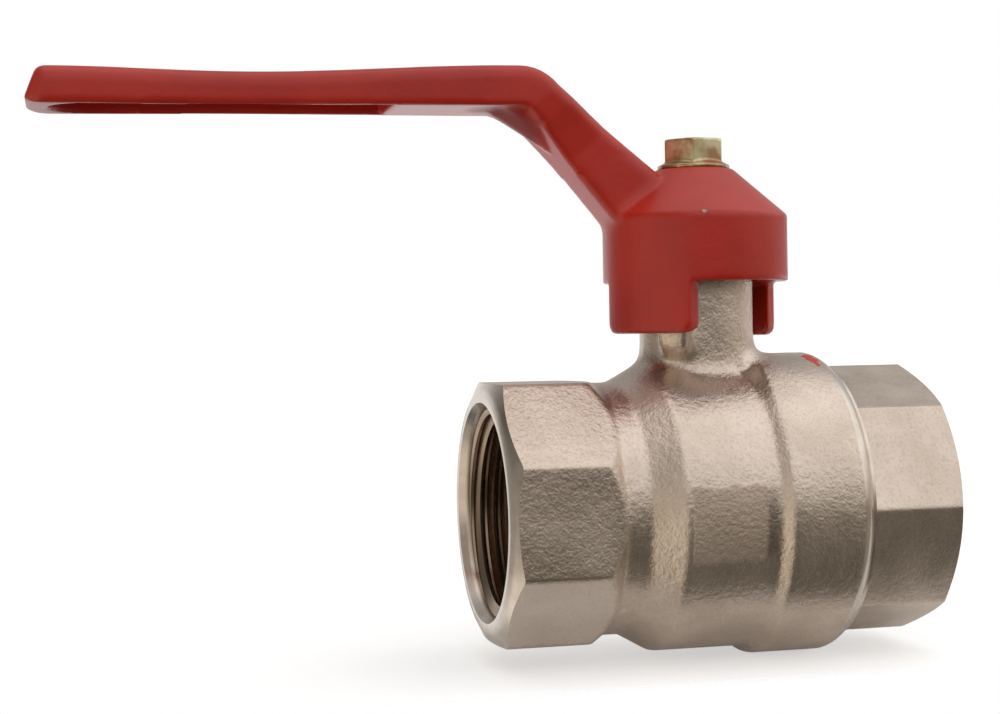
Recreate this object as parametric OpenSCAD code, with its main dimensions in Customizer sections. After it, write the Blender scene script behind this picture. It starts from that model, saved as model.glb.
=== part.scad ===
// Quarter-turn ball valve: two-piece brass body, full-bore ball, female threaded ends, cranked lever.
// The origin is the centre of the ball. X runs along the pipe towards the end adapter, Z runs up along
// the stem, and the lever points to -X while the valve is open. All lengths are in millimetres.

/* [Ports] */
// Wall diameter of the threaded ports, the major diameter of a one-inch pipe thread
port_d = 33.25; // [30:0.05:34.5]
// Depth of each threaded port
port_depth = 16.85; // [13:0.05:20]
// Radial width of the lead-in countersink at each mouth
mouth_lip = 1.0; // [0.4:0.1:1.6]
// Axial depth of the lead-in countersink
mouth_depth = 1.8; // [0.8:0.1:3]
// Diameter of the open waterway
waterway_d = 25; // [20:0.1:26]
// Wall left between the inlet thread and the inlet seat
inlet_land = 4.35; // [2:0.05:7]
// Wall left between the outlet thread and the outlet seat
outlet_land = 5.4; // [2:0.05:8]

/* [Ball and seats] */
// Diameter of the ball
ball_d = 36; // [34.5:0.1:39]
// Gap between the ball and each seat
seat_gap = 0.05; // [0.03:0.01:0.1]
// Gap between the ball and the chamber wall
chamber_gap = 0.6; // [0.3:0.1:1.2]
// Radial wall of a seat ring
seat_wall = 4; // [3:0.1:4.4]
// Axial length of a seat ring
seat_len = 6; // [4.5:0.1:8]
// How far a seat ring laps over the ball from the rim of its bore
seat_lap = 3.5; // [2:0.1:4.5]
// Width of the drive slot in the top of the ball
slot_w = 6.2; // [5:0.1:8]
// Depth of the drive slot
slot_depth = 3.6; // [2.5:0.1:4]

/* [Body] */
// Width across the flats of both octagons
wrench_af = 41.4; // [40:0.1:45]
// Length of the inlet octagon with its taper into the waist
inlet_wrench_len = 18.05; // [14:0.05:19]
// Length of the taper from the octagon's corners into the waist
wrench_taper = 2.8; // [1:0.1:5]
// Length of the end adapter's octagon
adapter_wrench_len = 16.9; // [12:0.05:18]
// Axial depth of the turned chamfer at the octagons' corners
wrench_chamfer = 1.8; // [0.8:0.1:2.5]
// Width of the flat ring between each mouth and the chamfer
face_ring = 1.3; // [0.6:0.1:2]
// Step from the octagon's flats down to the waist
waist_drop = 0.25; // [0.1:0.05:1]
// Wall of the barrel around the ball chamber
barrel_wall = 4.8; // [3:0.1:6]
// Length of the cone from the waist up to the barrel
cone_len = 5.2; // [3:0.1:7]
// Radius of the fillet between the waist and the cone
waist_round = 2; // [0.5:0.1:4]
// Radius of the edges of the barrel and collar
barrel_round = 0.8; // [0.2:0.1:1.2]
// How far the barrel reaches past the ball chamber
barrel_lead = 0.4; // [0.1:0.1:2]
// Wall of the collar around the adapter's thread
collar_wall = 4.4; // [3:0.1:6]
// Length of the collar with its rounded end
collar_len = 14; // [12:0.1:17]
// Length of the step from the barrel up to the collar
collar_step_len = 1.9; // [0.5:0.1:3]
// Radius of the collar's rounded end
collar_round = 3.2; // [1:0.1:4]

/* [Body joint] */
// Radial step from the ball chamber out to the adapter's thread
joint_step = 1.7; // [1.2:0.1:2.5]
// Wall between the stem's pocket and the shoulder that the adapter screws up to
joint_wall = 0.85; // [0.6:0.05:3]
// Loose fit of the adapter's thread, and of rings in their pockets
ring_fit = 0.05; // [0.02:0.01:0.1]
// Thickness of the body seal ring
body_seal_t = 1.2; // [0.8:0.1:2]

/* [Neck] */
// Diameter of the neck
neck_d = 18.8; // [17:0.1:21]
// Height of the neck above the barrel
neck_len = 18.1; // [16:0.1:22]
// Reach of the fillet at the neck's foot on the inlet side
neck_fillet_inlet = 4.2; // [1:0.1:5]
// Reach of the fillet at the neck's foot on the outlet side
neck_fillet_outlet = 2; // [1:0.1:4]
// How far the fillet's edges are sunk into the body and the neck
neck_sink = 0.3; // [0.1:0.1:0.8]
// Width of each stop boss, in degrees
stop_span = 28; // [20:1:34]
// Direction of the front stop boss, in degrees from +X
stop_angle = 231; // [225:1:237]
// Height of the stop bosses' feet above the barrel
stop_foot = 1.1; // [0.5:0.1:4]

/* [Stem] */
// Diameter of the stem
stem_d = 9; // [8:0.1:10]
// Running clearance around the stem, on the radius
run_clear = 0.05; // [0.02:0.01:0.1]
// Diameter of the stem's collar
stem_collar_d = 13.2; // [12.6:0.1:15]
// Thickness of the stem's collar
stem_collar_t = 2.2; // [1.5:0.1:3]
// Gap between the stem's collar and the ball
stem_ball_gap = 0.3; // [0.2:0.05:0.6]
// Length of the tang across the ball's slot
tang_len = 11; // [8:0.1:11.4]
// Clearance of the tang in the slot, on each side
tang_clear = 0.1; // [0.05:0.01:0.2]
// Thickness of the thrust washer
thrust_t = 1; // [0.6:0.1:2]
// Diameter of the O-rings' section
o_ring_section = 1.4; // [1.2:0.1:1.6]
// Height of the lower O-ring above the thrust washer's seat
o_ring_lift = 2.2; // [1.5:0.1:3]
// Distance between the two O-rings
o_ring_pitch = 3.2; // [2.4:0.1:3.6]
// Width across the stem's two flats
flats_af = 6.6; // [5.6:0.1:7.6]
// Diameter of the threaded stud on top of the stem
stud_d = 5; // [4:0.1:5.5]

/* [Packing] */
// Diameter of the packing box in the neck
packing_d = 13.6; // [12:0.1:14.4]
// Depth of the packing box below the neck's top
packing_depth = 11.5; // [10:0.1:12.5]
// Thickness of one packing ring at its edges
packing_t = 1.2; // [0.8:0.1:1.6]
// Rise of the chevron on a packing ring
chevron = 0.6; // [0.3:0.1:1]
// Width across the flats of the gland nut's hexagon
gland_af = 14; // [13:0.1:15.6]
// Height of the gland nut's hexagon
gland_hex_h = 3; // [2:0.1:4]
// Gap under the gland nut's hexagon, for tightening
gland_gap = 0.6; // [0.3:0.1:1.5]

/* [Lever hub] */
// Diameter of the hub's skirt
hub_d = 30.2; // [28:0.1:33]
// Thickness of the skirt and its lugs
skirt_t = 2.3; // [1.5:0.1:2.6]
// Height of the skirt below the hub's shoulder
skirt_h = 10.75; // [8:0.05:12]
// Height of the front lug below the skirt
lug_h = 8.2; // [6:0.1:9.5]
// Height of the rear lug below the skirt
rear_lug_h = 8.8; // [6:0.1:9.5]
// Width of each lug, in degrees
lug_span = 66; // [50:1:80]
// Direction of the front lug's middle, in degrees from +X
front_lug_angle = 214; // [210:1:222]
// Direction of the rear lug's middle, in degrees from +X
rear_lug_angle = 42; // [36:1:50]
// Radius of the lugs' lower corners
lug_round = 1.8; // [0.5:0.1:3]
// Height of the hub's cone
cone_h = 7.85; // [5:0.05:8.5]
// Radius of the hub's shoulder and crown edges
hub_round = 0.6; // [0.2:0.1:1.5]
// Diameter of the flat on top of the hub
crown_d = 12.5; // [12.2:0.1:16]
// Thickness of the hub above the gland nut's room
hub_web = 9; // [8:0.1:12]
// Room above the gland nut
gland_room = 0.9; // [0.5:0.1:2]
// Gap between the neck and the hub's stop sectors
stop_gap = 0.6; // [0.3:0.1:1]
// Gap between the stop bosses and the skirt
boss_gap = 0.5; // [0.3:0.1:1]
// Angular gap left at each stop, in degrees
stop_play = 0.5; // [0.3:0.1:1]

/* [Lever arm] */
// Reach of the lever from the stem to its tip
lever_reach = 106.1; // [80:0.1:140]
// Height of the grip's underside above the hub's crown, at the bend
grip_rise = 9.2; // [5:0.1:20]
// How far the grip droops from its bend to its tip
grip_droop = 0.5; // [0:0.1:2]
// Thickness of the grip at its tip
grip_h_tip = 5.7; // [5:0.1:8]
// Thickness of the grip at its waist
grip_h_waist = 5.2; // [4.5:0.1:8]
// Thickness of the grip at its bend
grip_h_bend = 6.5; // [5:0.1:9]
// Width of the grip at its tip
grip_w_tip = 15; // [12:0.1:20]
// Width of the grip at its waist
grip_w_waist = 13.6; // [11:0.1:18]
// Width of the grip at its bend
grip_w_bend = 15.2; // [12:0.1:20]
// Distance of the grip's waist from the stem
grip_waist_x = 74; // [60:0.5:80]
// Distance of the underside's bend from the stem
bend_x = 29.9; // [26:0.1:36]
// Radius inside the bend
bend_round = 1.5; // [0.5:0.1:4]
// Thickness of the arm where it enters the hub
arm_h_root = 11.4; // [8:0.1:12]
// Width of the arm between the bend and the hub
arm_w = 10.2; // [8:0.1:12]
// How far below the hub's ceiling the arm's underside enters
arm_root_drop = 1; // [0.1:0.1:1]
// Radius of the arm's upper edges
arm_top_round = 2; // [1:0.1:2.4]
// Radius of the arm's lower edges
arm_low_round = 0.5; // [0.2:0.1:1]
// Height of the tip's lip above the grip's underside
tip_lift = 0.9; // [0.6:0.1:2]
// How far the tip's upper edge is set back from its lip
tip_setback = 1.7; // [0.5:0.1:3]
// Length of the rounded tip
tip_len = 3.4; // [2:0.1:5]
// How much narrower the tip's lip is than the grip
tip_narrowing = 4.5; // [1:0.1:8]
// Length of the pocket under the grip
pocket_len = 52; // [30:0.5:60]
// Depth of the pocket under the grip
pocket_depth = 3; // [1:0.1:3.2]
// Wall beside the pocket
pocket_wall = 1.3; // [1:0.1:3]
// Length of the gusset along the grip, from the bend
gusset_grip_len = 5; // [2:0.1:8]
// How far the gusset's end on the grip runs to a point
gusset_point = 1.6; // [0.5:0.1:4]
// Length of the gusset along the arm, from the bend
gusset_arm_len = 9; // [4:0.1:14]

/* [Lever nut] */
// Width across the nut's flats
nut_af = 9.2; // [8:0.1:10]
// Direction of one of the nut's corners, in degrees from +X
nut_turn = 10; // [0:1:59]
// Height of the nut above its flange
nut_h = 3.6; // [3:0.1:6]
// Diameter of the nut's flange
nut_flange_d = 11.8; // [11:0.1:12.2]
// Height of the nut's conical flange
nut_flange_h = 1.2; // [0.8:0.1:2]
// Thickness of the flange at its rim
nut_rim_h = 0.5; // [0.3:0.1:0.7]
// Chamfer on the corners of every nut
nut_chamfer = 0.5; // [0.2:0.1:0.8]

/* [Hidden] */
$fn = 96;
// A cut runs this far past the face that it opens
cut = 1;
// A piece of a node runs this far into the piece that carries it
bury = 1.5;
// Number of packing rings in the neck
packing_rings = 3;
// Number of steps round a corner of a turned outline
corner_steps = 4;
// Angle that the collar's round end turns through, and its number of steps
collar_turn = 60;
collar_steps = 6;
// Facets round the fillet at the neck's foot, and its number of steps up the neck
foot_sides = 60;
foot_steps = 6;

// Waterway, ball, seats and the stem's radii, outwards from the ball's centre
port_r = port_d / 2;
waterway_r = waterway_d / 2;
ball_r = ball_d / 2;
chamber_r = ball_r + chamber_gap;
ball_rim_x = sqrt(pow(ball_r, 2) - pow(waterway_r, 2));
seat_front_x = ball_rim_x - seat_lap;
seat_back_x = seat_front_x + seat_len;
seat_in_r = waterway_r + ring_fit;
seat_out_r = seat_in_r + seat_wall;
pocket_r = seat_out_r + ring_fit;
stem_r = stem_d / 2;
stem_bore_r = stem_r + run_clear;
stem_collar_r = stem_collar_d / 2;
spot_r = stem_collar_r + run_clear;
inlet_bottom_x = seat_back_x + inlet_land;
inlet_face_x = inlet_bottom_x + port_depth;
outlet_bottom_x = seat_back_x + outlet_land;
outlet_face_x = outlet_bottom_x + port_depth;

// Outside of the body
wrench_r = wrench_af / 2 / cos(22.5);
face_r = port_r + mouth_lip + face_ring;
chamfer_slope = wrench_chamfer / (wrench_r - face_r);
waist_r = wrench_af / 2 - waist_drop;
barrel_r = chamber_r + barrel_wall;
joint_r = chamber_r + joint_step;
collar_r = joint_r + collar_wall;
body_end_x = outlet_face_x - adapter_wrench_len;
joint_x = spot_r + joint_wall;
collar_x = body_end_x - collar_len;
step_x = collar_x - collar_step_len;
barrel_x = seat_front_x + barrel_lead;
waist_x = barrel_x + cone_len;
inlet_wrench_x = inlet_face_x - inlet_wrench_len;

// Heights of the stem and packing, upwards from the ball
slot_floor_z = ball_r - slot_depth;
stem_collar_z = ball_r + stem_ball_gap;
stem_collar_top = stem_collar_z + stem_collar_t;
thrust_z = stem_collar_top + run_clear;
spot_z = thrust_z + thrust_t;
o_ring_r = stem_bore_r - run_clear - o_ring_section / 2;
groove_r = o_ring_r - o_ring_section / 2 - run_clear;
groove_half = o_ring_section / 2 + run_clear;
lower_o_ring_z = spot_z + o_ring_lift;
upper_o_ring_z = lower_o_ring_z + o_ring_pitch;
neck_r = neck_d / 2;
neck_top = barrel_r + neck_len;
packing_r = packing_d / 2;
packing_z = neck_top - packing_depth;
packing_top = packing_z + packing_rings * packing_t + chevron;
gland_hex_z = neck_top + gland_gap;
gland_top = gland_hex_z + gland_hex_h;

// Hub of the lever
hub_r = hub_d / 2;
crown_r = crown_d / 2;
hub_room_r = hub_r - skirt_t;
ceiling_z = gland_top + gland_room;
crown_z = ceiling_z + hub_web;
shoulder_z = crown_z - cone_h;
skirt_z = shoulder_z - skirt_h;
lug_z = skirt_z - max(lug_h, rear_lug_h);
stop_r = hub_room_r - boss_gap;
sector_r = neck_r + stop_gap;
sector_span = 90 - stop_span - 2 * stop_play;

// Arm of the lever, in the X-Z plane through the stem
grip_z = crown_z + grip_rise;
tip_z = grip_z - grip_droop;
tip_x = lever_reach - tip_len;
root_x = hub_r - skirt_t / 2;
root_z = ceiling_z - arm_root_drop;
arm_angle = atan((grip_z - root_z) / (bend_x - root_x));
bend_start_x = bend_x + bend_round * tan(arm_angle / 2);
bend_centre = [-bend_start_x, grip_z - bend_round];
arm_len = (bend_x - root_x) / cos(arm_angle) - bend_round * tan(arm_angle / 2);
nut_top = crown_z + nut_flange_h + nut_h;

// Turn the Z axis of a shape onto the pipe's X axis
module along_pipe(x = 0) {
    translate([x, 0, 0]) rotate([0, 90, 0]) children();
}

// Show a shape on the inlet side as well as it stands on the outlet side
module on_inlet_side() {
    mirror([1, 0, 0]) children();
}

// Solid of revolution about the pipe from x0 to x1
module pipe_cut(x0, x1, r) {
    along_pipe(x0) cylinder(h = x1 - x0, r = r);
}

// Octagon across the pipe, with a flat or a corner on top
module octagon_bar(x0, x1, corner_up) {
    along_pipe(x0) linear_extrude(x1 - x0) rotate(corner_up ? 0 : 22.5) circle(r = wrench_r, $fn = 8);
}

// Threaded port with its lead-in, opening towards +X at the face
module port_cut(bottom_x, face_x) {
    pipe_cut(bottom_x, face_x + cut, port_r);
    along_pipe(face_x - mouth_depth) cylinder(h = mouth_depth, r1 = port_r, r2 = port_r + mouth_lip);
    pipe_cut(face_x, face_x + cut, port_r + mouth_lip);
}

// Points of an arc in the drawing plane
function arc(centre, r, from, to, steps) =
    [for (k = [0 : steps]) let (a = from + (to - from) * k / steps) centre + r * [cos(a), sin(a)]];

// Direction of a vector
function unit(v) = v / norm(v);

// Points that round a corner of an outline between its neighbours
function corner_arc(before, corner, after, r) = let (
    a = unit(before - corner),
    b = unit(after - corner),
    half = acos(a * b) / 2,
    centre = corner + unit(a + b) * r / sin(half),
    start = corner + a * r / tan(half) - centre,
    end = corner + b * r / tan(half) - centre,
    from = atan2(start[1], start[0]),
    turn = atan2(start[0] * end[1] - start[1] * end[0], start * end)
) arc(centre, r, from, from + turn, corner_steps);

// Outline with rounded corners, from a list of [point, radius]
function rounded(corners) = let (n = len(corners)) [for (k = [0 : n - 1]) let (c = corners[k])
    each c[1] == 0 ? [c[0]] : corner_arc(corners[(k + n - 1) % n][0], c[0], corners[(k + 1) % n][0], c[1])];

// Outline of the barrel and collar, as radius against distance along the pipe
function barrel_outline() = concat(
    rounded([
        [[0, -inlet_wrench_x - bury], 0],
        [[waist_r, -inlet_wrench_x - bury], 0],
        [[waist_r, -waist_x], waist_round],
        [[barrel_r, -barrel_x], barrel_round],
        [[barrel_r, step_x], 0],
        [[collar_r, collar_x], barrel_round],
        [[collar_r, body_end_x - collar_round], 0]
    ]),
    arc([collar_r - collar_round, body_end_x - collar_round], collar_round,
        collar_turn / collar_steps, collar_turn, collar_steps - 1),
    [[collar_r - collar_round / 2, body_end_x], [0, body_end_x]]
);

// Outline of an octagon's bar with a chamfer at its outer face and a taper at its inner end
function wrench_outline(inner_x, inner_r, taper, face_x) = [
    [0, inner_x],
    [inner_r, inner_x],
    [wrench_r + cut, inner_x + taper * (wrench_r + cut - inner_r) / (wrench_r - inner_r)],
    [wrench_r + cut, face_x - chamfer_slope * (wrench_r + cut - face_r)], [face_r, face_x], [0, face_x]
];

module inlet_octagon() {
    on_inlet_side() intersection() {
        octagon_bar(inlet_wrench_x, inlet_face_x, false);
        along_pipe() rotate_extrude()
            polygon(wrench_outline(inlet_wrench_x, waist_r, wrench_taper, inlet_face_x));
    }
}

// Outer radius of the body about the neck, at a place along the pipe
function body_r(x) =
    x < -barrel_x ? barrel_r - (barrel_r - waist_r) * (-barrel_x - x) / cone_len :
    x < step_x ? barrel_r :
    x < collar_x ? barrel_r + (collar_r - barrel_r) * (x - step_x) / collar_step_len : collar_r;

// Reach of the neck's fillet in one direction about the stem
function foot_reach(turn) =
    (neck_fillet_inlet * (1 - cos(turn)) + neck_fillet_outlet * (1 + cos(turn))) / 2 + neck_sink;

// One point of the neck's fillet, from 0 degrees where it leaves the body to 90 degrees up the neck
function foot_point(turn, a) = let (
    reach = foot_reach(turn),
    edge = (neck_r - neck_sink + reach) * [cos(turn), sin(turn)],
    r = neck_r - neck_sink + reach * (1 - sin(a)),
    z = sqrt(pow(body_r(edge[0]), 2) - pow(edge[1], 2)) - neck_sink
) [r * cos(turn), r * sin(turn), z + reach * (1 - cos(a))];

// Foot of the neck: a hollow fillet that follows the body's saddle
module neck_foot() {
    turns = [for (i = [0 : foot_sides - 1]) 360 * i / foot_sides];
    bottom = [for (t = turns) let (p = foot_point(t, 0)) [p[0], p[1], chamber_r - cut]];
    hollow = [for (k = [0 : foot_steps], t = turns) foot_point(t, 90 * k / foot_steps)];
    middle = [[0, 0, chamber_r - cut], [0, 0, collar_r]];
    n = foot_sides;
    last = n * (foot_steps + 1);
    sides = [for (k = [0 : foot_steps], i = [0 : n - 1]) let (a = k * n + i, b = k * n + (i + 1) % n)
        each [[a, a + n, b], [b, a + n, b + n]]];
    caps = [for (i = [0 : n - 1]) let (j = (i + 1) % n)
        each [[last + n, i, j], [last + n + 1, last + j, last + i]]];
    polyhedron(points = concat(bottom, hollow, middle), faces = concat(sides, caps));
}

// One stop boss on the neck, with a rounded foot
module stop_boss(angle) {
    foot_z = barrel_r + stop_foot;
    foot_round = (stop_r - neck_r) / 2;
    rotate([0, 0, angle - stop_span / 2]) rotate_extrude(angle = stop_span) polygon(concat(
        [[neck_r - bury, foot_z]],
        arc([stop_r - foot_round, foot_z + foot_round], foot_round, -90, 0, 5),
        [[stop_r, neck_top], [neck_r - bury, neck_top]]
    ));
}

module valve_body() {
    color([0.72, 0.67, 0.62]) difference() {
        union() {
            inlet_octagon();
            along_pipe() rotate_extrude() polygon(barrel_outline());
            neck_foot();
            cylinder(h = neck_top, r = neck_r);
            stop_boss(stop_angle);
            stop_boss(stop_angle - 180);
        }
        on_inlet_side() port_cut(inlet_bottom_x, inlet_face_x);
        pipe_cut(-inlet_bottom_x - cut, 0, waterway_r);
        pipe_cut(-seat_back_x, 0, pocket_r);
        pipe_cut(-seat_front_x, joint_x + cut, chamber_r);
        pipe_cut(joint_x, body_end_x + cut, joint_r);
        cylinder(h = spot_z, r = spot_r);
        cylinder(h = neck_top + cut, r = stem_bore_r);
        translate([0, 0, packing_z]) cylinder(h = packing_depth + cut, r = packing_r);
    }
}

module end_adapter() {
    nose_x = joint_x + body_seal_t;
    color([0.72, 0.67, 0.62]) difference() {
        union() {
            intersection() {
                octagon_bar(body_end_x, outlet_face_x, true);
                along_pipe() rotate_extrude()
                    polygon(wrench_outline(body_end_x, wrench_r + cut / 2, 0, outlet_face_x));
            }
            pipe_cut(nose_x, body_end_x + bury, joint_r - ring_fit);
        }
        port_cut(outlet_bottom_x, outlet_face_x);
        pipe_cut(seat_back_x - cut, outlet_bottom_x + cut, waterway_r);
        pipe_cut(nose_x - cut, seat_back_x, pocket_r);
    }
}

module ball() {
    color([0.86, 0.87, 0.88]) difference() {
        sphere(r = ball_r);
        pipe_cut(-ball_r - cut, ball_r + cut, waterway_r);
        translate([-slot_w / 2, -ball_r - cut, slot_floor_z])
            cube([slot_w, ball_d + 2 * cut, slot_depth + cut]);
    }
}

// One seat ring on the outlet side, hollowed to the ball
module seat_ring() {
    color([0.95, 0.95, 0.92]) difference() {
        pipe_cut(seat_front_x, seat_back_x, seat_out_r);
        pipe_cut(seat_front_x - cut, seat_back_x + cut, seat_in_r);
        sphere(r = ball_r + seat_gap);
    }
}

module inlet_seat() {
    on_inlet_side() seat_ring();
}

module outlet_seat() {
    seat_ring();
}

module body_seal_ring() {
    color([0.95, 0.95, 0.92]) difference() {
        pipe_cut(joint_x, joint_x + body_seal_t, joint_r - ring_fit);
        pipe_cut(joint_x - cut, joint_x + body_seal_t + cut, chamber_r + ring_fit);
    }
}

// Outline of the stem's turned shape, as radius against height
function stem_outline() = concat(
    [[0, stem_collar_z], [stem_collar_r, stem_collar_z]],
    [[stem_collar_r, stem_collar_top], [stem_r, stem_collar_top]],
    [for (z = [lower_o_ring_z, upper_o_ring_z], p = [[stem_r, -1], [groove_r, -1], [groove_r, 1], [stem_r, 1]])
        [p[0], z + p[1] * groove_half]],
    [[stem_r, crown_z - cut / 2], [stud_d / 2, crown_z - cut / 2], [stud_d / 2, nut_top - nut_chamfer]],
    [[0, nut_top - nut_chamfer]]
);

module stem() {
    tang_w = slot_w - 2 * tang_clear;
    tang_z = slot_floor_z + stem_ball_gap;
    color([0.80, 0.64, 0.34]) difference() {
        union() {
            rotate_extrude() polygon(stem_outline());
            intersection() {
                translate([-tang_w / 2, -tang_len / 2, tang_z])
                    cube([tang_w, tang_len, stem_collar_z + cut - tang_z]);
                cylinder(h = stem_collar_top, r = stem_collar_r);
            }
        }
        for (side = [0, 180])
            rotate([0, 0, side]) translate([-stem_d, flats_af / 2, ceiling_z])
                cube([2 * stem_d, stem_d, hub_web]);
    }
}

// Flat ring about the stem's axis
module stem_ring(z, t, in_r, out_r) {
    translate([0, 0, z]) difference() {
        cylinder(h = t, r = out_r);
        translate([0, 0, -cut]) cylinder(h = t + 2 * cut, r = in_r);
    }
}

module thrust_washer() {
    color([0.95, 0.95, 0.92]) stem_ring(thrust_z, thrust_t, stem_bore_r, spot_r - ring_fit);
}

module stem_o_ring(z) {
    color([0.08, 0.08, 0.08]) translate([0, 0, z])
        rotate_extrude() translate([o_ring_r, 0]) circle(d = o_ring_section);
}

module lower_stem_o_ring() {
    stem_o_ring(lower_o_ring_z);
}

module upper_stem_o_ring() {
    stem_o_ring(upper_o_ring_z);
}

// One packing ring, with a chevron on its lower face, its upper face or both
module packing_ring(index, low_v, high_v) {
    in_r = stem_bore_r;
    out_r = packing_r - ring_fit;
    mid_r = (in_r + out_r) / 2;
    z0 = packing_z + index * packing_t;
    z1 = z0 + packing_t + (high_v ? 0 : chevron);
    color([0.93, 0.93, 0.90]) rotate_extrude() polygon(concat(
        [[in_r, z0]], low_v ? [[mid_r, z0 + chevron]] : [], [[out_r, z0], [out_r, z1]],
        high_v ? [[mid_r, z1 + chevron]] : [], [[in_r, z1]]
    ));
}

module lower_packing_ring() {
    packing_ring(0, false, true);
}

module middle_packing_ring() {
    packing_ring(1, true, true);
}

module upper_packing_ring() {
    packing_ring(2, true, false);
}

// Hexagon with the corners of its upper end chamfered
module hexagon(z, h, af) {
    corner_r = af / 2 / cos(30);
    intersection() {
        translate([0, 0, z]) cylinder(h = h, r = corner_r, $fn = 6);
        rotate_extrude() polygon([
            [0, z - cut], [corner_r + cut, z - cut], [corner_r + cut, z + h - nut_chamfer - cut / 2],
            [corner_r - nut_chamfer, z + h], [0, z + h]
        ]);
    }
}

module gland_nut() {
    screw_h = gland_hex_z - packing_top;
    color([0.78, 0.66, 0.40]) difference() {
        union() {
            translate([0, 0, packing_top]) cylinder(h = screw_h + cut, r = packing_r - ring_fit);
            hexagon(gland_hex_z, gland_hex_h, gland_af);
        }
        translate([0, 0, packing_top - cut]) cylinder(h = screw_h + gland_hex_h + 2 * cut, r = stem_bore_r);
    }
}

// Room for one lug: a bar from the stem outwards, with rounded lower corners
module lug_bar(angle, h) {
    half_w = hub_r * sin(lug_span / 2);
    low_z = skirt_z - h;
    rotate([90, 0, angle + 90]) linear_extrude(hub_d) {
        translate([-half_w, low_z + lug_round]) square([2 * half_w, h]);
        translate([-half_w + lug_round, low_z]) square([2 * (half_w - lug_round), h]);
        for (side = [-1, 1])
            translate([side * (half_w - lug_round), low_z + lug_round]) circle(r = lug_round);
    }
}

// Air between and below the lugs, under the skirt
module lug_windows() {
    difference() {
        translate([0, 0, lug_z - 2 * cut]) cylinder(h = skirt_z - lug_z + 2 * cut, r = hub_r + cut);
        lug_bar(front_lug_angle, lug_h);
        lug_bar(rear_lug_angle, rear_lug_h);
    }
}

// One stop sector inside the hub, ending where the bosses stand
module stop_sector(end_angle) {
    sector_wall = hub_room_r - sector_r + skirt_t / 2;
    rotate([0, 0, end_angle - sector_span]) rotate_extrude(angle = sector_span)
        translate([sector_r, skirt_z]) square([sector_wall, ceiling_z - skirt_z + cut]);
}

// Smooth change from 0 to 1
function ease(t) = (1 - cos(180 * t)) / 2;

// A size along the grip, from its tip through its waist to its bend
function along_grip(x, tip, waist, bend) = x > grip_waist_x
    ? waist + (tip - waist) * ease((x - grip_waist_x) / (tip_x - grip_waist_x))
    : waist + (bend - waist) * ease((grip_waist_x - x) / (grip_waist_x - bend_start_x));

// Height of the grip's underside, which droops towards the tip
function under_z(x) = grip_z - grip_droop * (x - bend_start_x) / (tip_x - bend_start_x);

// Cross-sections of the arm: [point on the underside, direction of the thickness, thickness, width]
tip_steps = 5;
grip_steps = 22;
bend_steps = 6;
arm_steps = 7;
top_edge_steps = 5;
low_edge_steps = 2;
pocket_steps = 12;
tip_sections = [for (k = [0 : tip_steps - 1]) let (
    a = 90 * (1 - k / tip_steps),
    low = [-tip_x - tip_len * sin(a), tip_z + tip_lift * (1 - cos(a))],
    high = [-tip_x - (tip_len - tip_setback) * sin(a), tip_z + grip_h_tip - tip_lift / 2 * (1 - cos(a))]
) [low, (high - low) / norm(high - low), norm(high - low), grip_w_tip - tip_narrowing * (1 - cos(a))]];
grip_sections = [for (k = [0 : grip_steps - 1]) let (x = tip_x + (bend_start_x - tip_x) * k / grip_steps)
    [[-x, under_z(x)], [0, 1], along_grip(x, grip_h_tip, grip_h_waist, grip_h_bend),
        along_grip(x, grip_w_tip, grip_w_waist, grip_w_bend)]];
bend_sections = [for (k = [0 : bend_steps]) let (a = arm_angle * k / bend_steps)
    [bend_centre + bend_round * [sin(a), cos(a)], [sin(a), cos(a)], grip_h_bend, grip_w_bend]];
arm_start = bend_sections[bend_steps][0];
// The arm takes its own width over the first half of its length
arm_sections = [for (k = [1 : arm_steps]) let (t = k / arm_steps)
    [arm_start + t * arm_len * [cos(arm_angle), -sin(arm_angle)], [sin(arm_angle), cos(arm_angle)],
        grip_h_bend + t * (arm_h_root - grip_h_bend),
        grip_w_bend + ease(min(1, 2 * t)) * (arm_w - grip_w_bend)]];
sections = concat(tip_sections, grip_sections, bend_sections, arm_sections);

// Points of one cross-section, round its rounded rectangle
function section_ring(s) = let (
    half = s[3] / 2,
    h = s[2],
    corners = concat(
        arc([half - arm_low_round, arm_low_round], arm_low_round, -90, 0, low_edge_steps),
        arc([half - arm_top_round, h - arm_top_round], arm_top_round, 0, 90, top_edge_steps),
        arc([-half + arm_top_round, h - arm_top_round], arm_top_round, 90, 180, top_edge_steps),
        arc([-half + arm_low_round, arm_low_round], arm_low_round, 180, 270, low_edge_steps)
    )
) [for (c = corners) let (p = s[0] + c[1] * s[1]) [p[0], c[0], p[1]]];

// Arm and grip, lofted through the cross-sections
module arm() {
    rings = [for (s = sections) section_ring(s)];
    n = len(rings[0]);
    last = len(rings) - 1;
    points = [for (ring = rings, p = ring) p];
    sides = [for (i = [0 : last - 1], j = [0 : n - 1]) let (a = i * n + j, b = i * n + (j + 1) % n)
        each [[a, a + n, b], [b, a + n, b + n]]];
    tip_cap = [for (j = [1 : n - 2]) [0, j, j + 1]];
    end = last * n;
    root_cap = [for (j = [1 : n - 2]) [end, end + j + 1, end + j]];
    polyhedron(points = points, faces = concat(sides, tip_cap, root_cap));
}

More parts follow.
